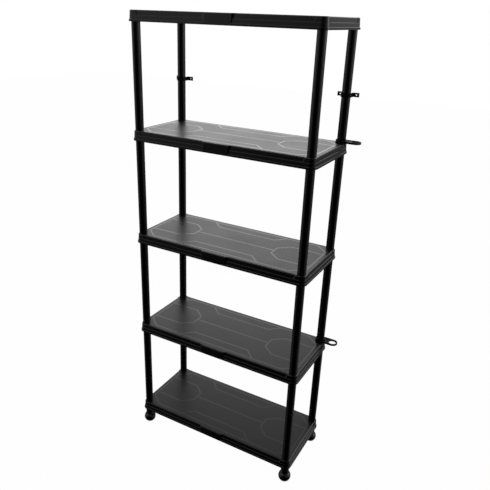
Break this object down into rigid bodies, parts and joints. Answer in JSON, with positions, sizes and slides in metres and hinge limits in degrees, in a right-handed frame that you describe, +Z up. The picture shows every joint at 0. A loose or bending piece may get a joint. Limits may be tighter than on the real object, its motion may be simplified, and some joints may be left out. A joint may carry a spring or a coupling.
{
  "type": "five tier shelving unit",
  "caption": "Free-standing shelving unit of moulded black resin: rimmed shelves on round push-together posts, ball feet, wall brackets and swivelling tool rings.",
  "frame": {"origin": "on the floor, midway between the four feet", "axes": "+Z up, +X to the right along the shelves, +Y to the rear, towards the wall"},
  "size_m": [0.8158, 0.3282, 1.789],
  "materials": {
    "shelf_resin": "satin black resin with a fine moulded texture",
    "post_resin": "semi-gloss black resin",
    "foot_resin": "semi-gloss black resin",
    "fitting_resin": "semi-gloss black resin"
  },
  "bodies": {
    "unit": {"shelf_1_bottom": "shelf_resin", "shelf_2": "shelf_resin", "shelf_3": "shelf_resin", "shelf_4": "shelf_resin", "shelf_5_top": "shelf_resin", "post_tier1_front_left": "post_resin", "post_tier1_front_right": "post_resin", "post_tier1_rear_left": "post_resin", "post_tier1_rear_right": "post_resin", "post_tier2_front_left": "post_resin", "post_tier2_front_right": "post_resin", "post_tier2_rear_left": "post_resin", "post_tier2_rear_right": "post_resin", "post_tier3_front_left": "post_resin", "post_tier3_front_right": "post_resin", "post_tier3_rear_left": "post_resin", "post_tier3_rear_right": "post_resin", "post_tier4_front_left": "post_resin", "post_tier4_front_right": "post_resin", "post_tier4_rear_left": "post_resin", "post_tier4_rear_right": "post_resin", "foot_front_left": "foot_resin", "foot_front_right": "foot_resin", "foot_rear_left": "foot_resin", "foot_rear_right": "foot_resin", "cap_front_left": "fitting_resin", "cap_front_right": "fitting_resin", "cap_rear_left": "fitting_resin", "cap_rear_right": "fitting_resin"},
    "bracket_left": {"wall_bracket_left": "fitting_resin"},
    "bracket_right": {"wall_bracket_right": "fitting_resin"},
    "ring_upper": {"tool_ring_upper": "fitting_resin"},
    "ring_lower": {"tool_ring_lower": "fitting_resin"}
  },
  "joints": [
    {"name": "bracket_left_slide", "type": "slide", "parent": "unit", "child": "bracket_left", "axis": [0, 0, 1], "range_m": [-0.14, 0.2]},
    {"name": "bracket_right_slide", "type": "slide", "parent": "unit", "child": "bracket_right", "axis": [0, 0, 1], "range_m": [-0.14, 0.2]},
    {"name": "ring_upper_swivel", "type": "hinge", "parent": "unit", "child": "ring_upper", "pos_m": [0.351, 0.1385, 1.379], "axis": [0, 0, 1], "continuous": true},
    {"name": "ring_lower_swivel", "type": "hinge", "parent": "unit", "child": "ring_lower", "pos_m": [0.351, 0.1385, 0.541], "axis": [0, 0, 1], "continuous": true}
  ]
}
